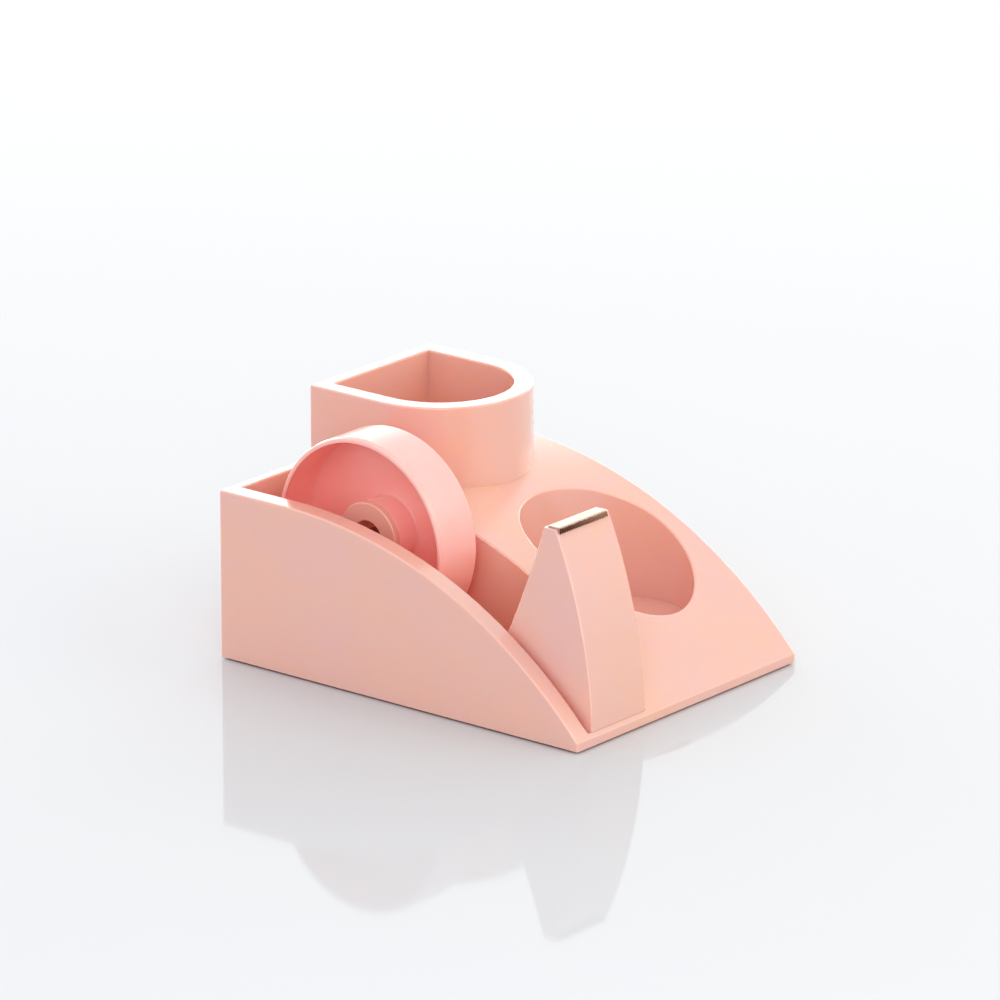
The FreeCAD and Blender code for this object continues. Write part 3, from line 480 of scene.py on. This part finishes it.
def make_materials():
    """Every finish on the object, by the record's slot name."""
    low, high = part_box("axle_rod")
    axis = tuple((low + high) / 2)
    return {
        "coral": moulded_plastic("coral_gloss", (0.80, 0.555, 0.455, 1), (0.77, 0.55, 0.51, 1),
                                 gloss=0.22, coat_blur=0.1, translucent=0.4,
                                 glow_depth=3 * MM, painted_glow=0.08),
        "pink": moulded_plastic("wheel_pink", (0.93, 0.60, 0.58, 1), (0.92, 0.57, 0.53, 1),
                                gloss=0.34, coat_blur=0.2, translucent=0.5,
                                glow_depth=4 * MM, painted_glow=0.085),
        "coral_matt": matt_plastic("coral_matt", (0.82, 0.46, 0.39, 1), (0.78, 0.42, 0.35, 1)),
        "blade_steel": darkened_lip(brushed_steel("blade_steel", (0.80, 0.70, 0.60, 1),
                                                  (0.50, 0.38, 0.29, 1),
                                                  roughness=0.42)),
        "screw_steel": brushed_steel("screw_zinc", (0.66, 0.67, 0.70, 1), (0.42, 0.42, 0.45, 1),
                                     roughness=0.32, stretch=(1.0, 0.1, 1.0)),
        "ballast_steel": brushed_steel("ballast_steel", (0.33, 0.33, 0.35, 1),
                                       (0.20, 0.16, 0.13, 1), roughness=0.45),
        "rod_steel": turned_steel("rod_steel", (0.80, 0.80, 0.82, 1), axis),
        "foot_rubber": foot_rubber("foot_rubber", (0.60, 0.59, 0.57, 1), (0.42, 0.41, 0.39, 1)),
        "washer_fibre": felted_fibre("washer_felt", (0.80, 0.77, 0.68, 1),
                                     (0.62, 0.58, 0.49, 1)),
    }


def dress(materials):
    """Give each CAD node the finish of its slot in the record."""
    for row in frame["record"]["subparts"]:
        mesh = NODES[row["node"]].data
        mesh.materials.clear()
        mesh.materials.append(materials[row["material_slot"]])


# ---------------------------------------------------------------- pieces that follow a rule

SLOTS = {row["node"]: row["material_slot"] for row in frame["record"]["subparts"]}
BODIES = {node: body for body, nodes in frame["record"]["behaviour"]["bodies"].items()
          for node in nodes}
WHEEL_SEGMENTS = 144
ARC_STEPS = 4
HOLD = 0.12
JOIN_WITHIN = 0.0000005
CLEAN_WITHIN = 0.0000002
SHARP_ANGLE = math.radians(35)

# Half sections of the turned pieces: along the axis, out from it, corner radius, in millimetres.
WHEEL_SECTION = [
    (0.0, 35.8, 0.35), (0.0, 37.4, 0.5), (1.6, 37.9, 0.6), (19.6, 37.9, 0.4), (19.6, 10.58, 0.2),
    (7.35, 10.58, 0.2), (7.35, 12.88, 0.5), (17.2, 12.88, 0.9), (17.2, 36.3, 1.2), (1.6, 36.3, 0.5),
]
SPOOL_SECTION = [
    (0.0, 6.4, 0.5), (0.0, 13.2, 0.5), (2.8, 13.2, 0.4), (2.8, 10.5, 0.2), (16.0, 10.5, 0.3),
    (16.0, 3.05, 0.1), (8.0, 3.05, 0.2), (8.0, 6.4, 0.5),
]
CAP_SECTION = [(0.0, 3.05, 0.1), (0.0, 13.2, 0.2), (1.7, 13.2, 0.5), (1.7, 3.05, 0.2)]
WASHER_SECTION = [(0.0, 10.7, 0.1), (0.0, 13.2, 0.15), (0.5, 13.2, 0.15), (0.5, 10.7, 0.1)]

# Middle line of the blade from the end of its leg to the edge of its lip: Y, Z and bend radius.
BLADE_LINE = [(-60.3, 71.0, 0.0), (-60.3, 76.6, 0.6), (-64.99, 76.6, 0.55), (-65.62, 74.65, 0.0)]
BLADE_THICK = 0.6
TOOTH_PITCH = 1.3
TOOTH_DEPTH = 0.9
LIP_LEAN = 0.3


def rounded_line(corners, closed):
    """Points along straight runs whose corners are arcs, with a holding point beside each arc."""
    points = []
    for index, (along, out, radius) in enumerate(corners):
        corner = Vector((along, out))
        at_end = not closed and index in (0, len(corners) - 1)
        if at_end or radius == 0:
            points.append(corner)
            continue
        before = (Vector(corners[index - 1][:2]) - corner).normalized()
        after = (Vector(corners[(index + 1) % len(corners)][:2]) - corner).normalized()
        half = before.angle(after) / 2
        reach = radius / math.tan(half)
        middle = corner + (before + after).normalized() * (radius / math.sin(half))
        start, end = corner + before * reach, corner + after * reach
        turn = (start - middle).angle_signed(end - middle)
        points.append(start + before * HOLD)
        for step in range(ARC_STEPS + 1):
            angle = -turn * step / ARC_STEPS
            arm = start - middle
            points.append(middle + Vector((arm.x * math.cos(angle) - arm.y * math.sin(angle),
                                           arm.x * math.sin(angle) + arm.y * math.cos(angle))))
        points.append(end + after * HOLD)
    if closed:
        points.append(points[0].copy())
    return [point * MM for point in points]


def line_mesh(name, points):
    """A chain of edges to build on: along and out become X and Y."""
    mesh = bpy.data.meshes.new(name)
    mesh.from_pydata([(point.x, point.y, 0) for point in points],
                     [(index, index + 1) for index in range(len(points) - 1)], [])
    return mesh


def open_geometry(name, sockets):
    """A Geometry Nodes tree with named inputs that makes one mesh of the incoming chain."""
    tree = bpy.data.node_groups.new(name, "GeometryNodeTree")
    tree.interface.new_socket("Section", in_out="INPUT", socket_type="NodeSocketGeometry")
    for label, kind in sockets:
        tree.interface.new_socket(label, in_out="INPUT", socket_type="NodeSocket" + kind)
    tree.interface.new_socket("Piece", in_out="OUTPUT", socket_type="NodeSocketGeometry")
    work = Tree(tree)
    return work, work.add("NodeGroupInput").outputs


def woven_grid(tree, given, columns):
    """A grid with one column per step and one row per point of the section.

    Gives the grid, each point's column and row, the count of rows and the section's point."""
    size = tree.add("GeometryNodeAttributeDomainSize", Geometry=given["Section"])
    rows = size.outputs["Point Count"]
    grid = tree.add("GeometryNodeMeshGrid", Vertices_X=columns, Vertices_Y=rows)
    index = tree.add("GeometryNodeInputIndex").outputs[0]
    column = tree.math("FLOOR", tree.math("DIVIDE", tree.math("ADD", index, 0.5), rows))
    row = tree.math("ROUND", tree.math("SUBTRACT", index, tree.math("MULTIPLY", column, rows)))
    sample = tree.add("GeometryNodeSampleIndex", {"data_type": "FLOAT_VECTOR"})
    tree.feed(sample.inputs["Geometry"], given["Section"])
    tree.feed(sample.inputs["Value"], tree.add("GeometryNodeInputPosition").outputs[0])
    tree.feed(sample.inputs["Index"], row)
    point = tree.add("ShaderNodeSeparateXYZ", Vector=sample.outputs[0])
    return grid.outputs["Mesh"], column, row, rows, point.outputs


def close_geometry(tree, given, mesh, place):
    """Put the grid's points in place, join doubled ones, and give the mesh its finish."""
    placed = tree.add("GeometryNodeSetPosition", Geometry=mesh, Position=place)
    merged = tree.add("GeometryNodeMergeByDistance", Geometry=placed.outputs[0],
                      Distance=JOIN_WITHIN)
    smooth = tree.add("GeometryNodeSetShadeSmooth", Geometry=merged.outputs[0])
    real = tree.add("GeometryNodeRealizeInstances", Geometry=smooth.outputs[0])
    finish = tree.add("GeometryNodeSetMaterial", Geometry=real.outputs[0],
                      Material=given["Finish"])
    end = tree.tree.nodes.new("NodeGroupOutput")
    tree.feed(end.inputs[0], finish.outputs[0])
    return tree.tree


def make_lathe():
    """Turns a section round an axis that lies along X."""
    tree, given = open_geometry("turned_moulding", [
        ("Segments", "Int"), ("Axis Start", "Vector"), ("Finish", "Material")])
    columns = tree.math("ADD", given["Segments"], 1.0)
    mesh, column, _, _, point = woven_grid(tree, given, columns)
    angle = tree.math("DIVIDE", tree.math("MULTIPLY", column, math.tau), given["Segments"])
    across = tree.math("MULTIPLY", point["Y"], tree.math("COSINE", angle))
    upwards = tree.math("MULTIPLY", point["Y"], tree.math("SINE", angle))
    arm = tree.add("ShaderNodeCombineXYZ", X=point["X"], Y=across, Z=upwards)
    place = tree.add("ShaderNodeVectorMath", {"operation": "ADD"})
    tree.feed(place.inputs[0], arm.outputs[0])
    tree.feed(place.inputs[1], given["Axis Start"])
    return close_geometry(tree, given, mesh, place.outputs[0])


def make_tooth_tree():
    """Sweeps the blade's middle line along X and pulls every other end point back as a tooth."""
    tree, given = open_geometry("toothed_strip", [
        ("Left", "Float"), ("Pitch", "Float"), ("Teeth", "Int"), ("Depth", "Float"),
        ("Finish", "Material")])
    columns = tree.math("MULTIPLY_ADD", given["Teeth"], 2.0, 1.0)
    mesh, column, row, rows, point = woven_grid(tree, given, columns)
    half_pitch = tree.math("MULTIPLY", given["Pitch"], 0.5)
    across = tree.math("MULTIPLY_ADD", column, half_pitch, given["Left"])
    at_edge = tree.math("COMPARE", row, tree.math("SUBTRACT", rows, 1.0), 0.5)
    between = tree.math("COMPARE", tree.math("MODULO", column, 2.0), 1.0, 0.5)
    pull = tree.math("MULTIPLY", tree.math("MULTIPLY", at_edge, between), given["Depth"])
    back = tree.math("MULTIPLY_ADD", pull, LIP_LEAN, point["X"])
    lifted = tree.math("ADD", pull, point["Y"])
    place = tree.add("ShaderNodeCombineXYZ", X=across, Y=back, Z=lifted)
    return close_geometry(tree, given, mesh, place.outputs[0])


def grow(name, section, tree, values):
    """An object whose mesh a tree makes of a section. Values are given by the tree's labels."""
    piece = link(name, section)
    modifier = piece.modifiers.new("shape", "NODES")
    modifier.node_group = tree
    for item in tree.interface.items_tree:
        if item.in_out == "INPUT" and item.name in values:
            modifier[item.identifier] = values[item.name]
    return piece


def settle(piece):
    """Turn a piece's modifiers into its plain mesh, with every face outwards."""
    depsgraph = bpy.context.evaluated_depsgraph_get()
    mesh = bpy.data.meshes.new_from_object(piece.evaluated_get(depsgraph))
    piece.modifiers.clear()
    shape = bmesh.new()
    shape.from_mesh(mesh)
    bmesh.ops.remove_doubles(shape, verts=shape.verts, dist=CLEAN_WITHIN)
    bmesh.ops.recalc_face_normals(shape, faces=shape.faces)
    shape.to_mesh(mesh)
    shape.free()
    piece.data = mesh


def stand_for(piece, node):
    """The piece is shown in place of a CAD node: the node is hidden, and the piece joins the node's
    body.
    """
    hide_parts(node)
    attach(piece, BODIES[node])


def make_turned(name, node, section, lathe):
    """A turned piece in the place of a CAD node."""
    wheel_low, wheel_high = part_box("tape_wheel")
    axis = (wheel_low + wheel_high) / 2
    start = (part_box(node)[0].x, axis.y, axis.z)
    chain = line_mesh(name + "_section", rounded_line(section, closed=True))
    piece = grow(name, chain, lathe, {
        "Segments": WHEEL_SEGMENTS, "Axis Start": start, "Finish": MATERIALS[SLOTS[node]]})
    settle(piece)
    stand_for(piece, node)


def make_blade_strip():
    """The folded cutter with its row of teeth."""
    low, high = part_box("cutter_blade")
    teeth = int((high.x - low.x) / (TOOTH_PITCH * MM))
    pitch = (high.x - low.x) / teeth
    chain = line_mesh("blade_line", rounded_line(BLADE_LINE, closed=False))
    piece = grow("toothed_cutter", chain, make_tooth_tree(), {
        "Left": low.x, "Pitch": pitch, "Teeth": teeth, "Depth": TOOTH_DEPTH * MM,
        "Finish": MATERIALS["blade_steel"]})
    wall = piece.modifiers.new("wall", "SOLIDIFY")
    wall.thickness = BLADE_THICK * MM
    wall.offset = 0
    wall.use_even_offset = True
    settle(piece)
    piece.data.set_sharp_from_angle(angle=SHARP_ANGLE)
    stand_for(piece, "cutter_blade")


make_camera()
make_floor()
make_studio()
make_groups()
MATERIALS = make_materials()
dress(MATERIALS)
LATHE = make_lathe()
make_turned("drum_wheel", "tape_wheel", WHEEL_SECTION, LATHE)
make_turned("hub_spool", "wheel_spool", SPOOL_SECTION, LATHE)
make_turned("hub_cap", "spool_cap", CAP_SECTION, LATHE)
make_turned("felt_washer", "drag_washer", WASHER_SECTION, LATHE)
make_blade_strip()
